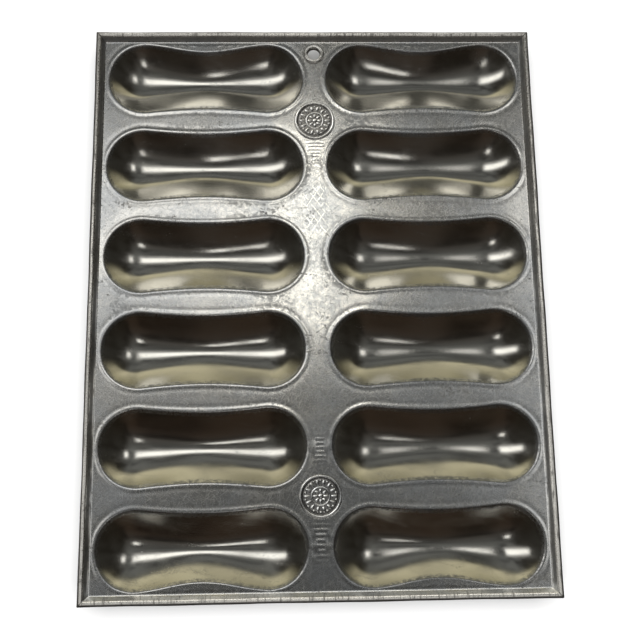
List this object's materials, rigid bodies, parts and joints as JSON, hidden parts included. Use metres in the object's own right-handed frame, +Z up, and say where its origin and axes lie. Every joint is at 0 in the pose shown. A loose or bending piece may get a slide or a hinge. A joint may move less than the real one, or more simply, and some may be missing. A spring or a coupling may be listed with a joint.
{
  "type": "waisted-well baking tray",
  "caption": "Rectangular tinned-steel baking tray with two columns of rounded dog-bone wells for shaping rolls, a shallow wired border and a hanging eyelet.",
  "frame": {"origin": "on the surface that the tray stands on, under the middle of its outline", "axes": "+Z up, out of the wells' mouths; +Y along the columns of wells towards the end with the hanging eyelet; +X to the right when the eyelet is at the far end"},
  "size_m": [0.28, 0.356, 0.0172],
  "materials": {
    "tinned_sheet": "worn satin tinplate with fine scratches, smoky tarnish on the web and brighter, near-mirror wells",
    "rim_wire": "drawn steel wire, hidden in the rolled edge except at the corner notches and the curl's seam",
    "eyelet": "rubbed bright tinned steel with a darker ring of grime at its foot"
  },
  "bodies": {
    "root": {"cross_web_1": "tinned_sheet", "cross_web_2": "tinned_sheet", "cross_web_3": "tinned_sheet", "cross_web_4": "tinned_sheet", "cross_web_5": "tinned_sheet", "cross_web_6": "tinned_sheet", "cross_web_7": "tinned_sheet", "border_left": "tinned_sheet", "border_right": "tinned_sheet", "border_far": "tinned_sheet", "border_near": "tinned_sheet", "well_left_1": "tinned_sheet", "well_left_2": "tinned_sheet", "well_left_3": "tinned_sheet", "well_left_4": "tinned_sheet", "well_left_5": "tinned_sheet", "well_left_6": "tinned_sheet", "well_right_1": "tinned_sheet", "well_right_2": "tinned_sheet", "well_right_3": "tinned_sheet", "well_right_4": "tinned_sheet", "well_right_5": "tinned_sheet", "well_right_6": "tinned_sheet", "roundel_far": "tinned_sheet", "roundel_near": "tinned_sheet", "rim_wire": "rim_wire", "hanging_eyelet": "eyelet"}
  },
  "joints": []
}
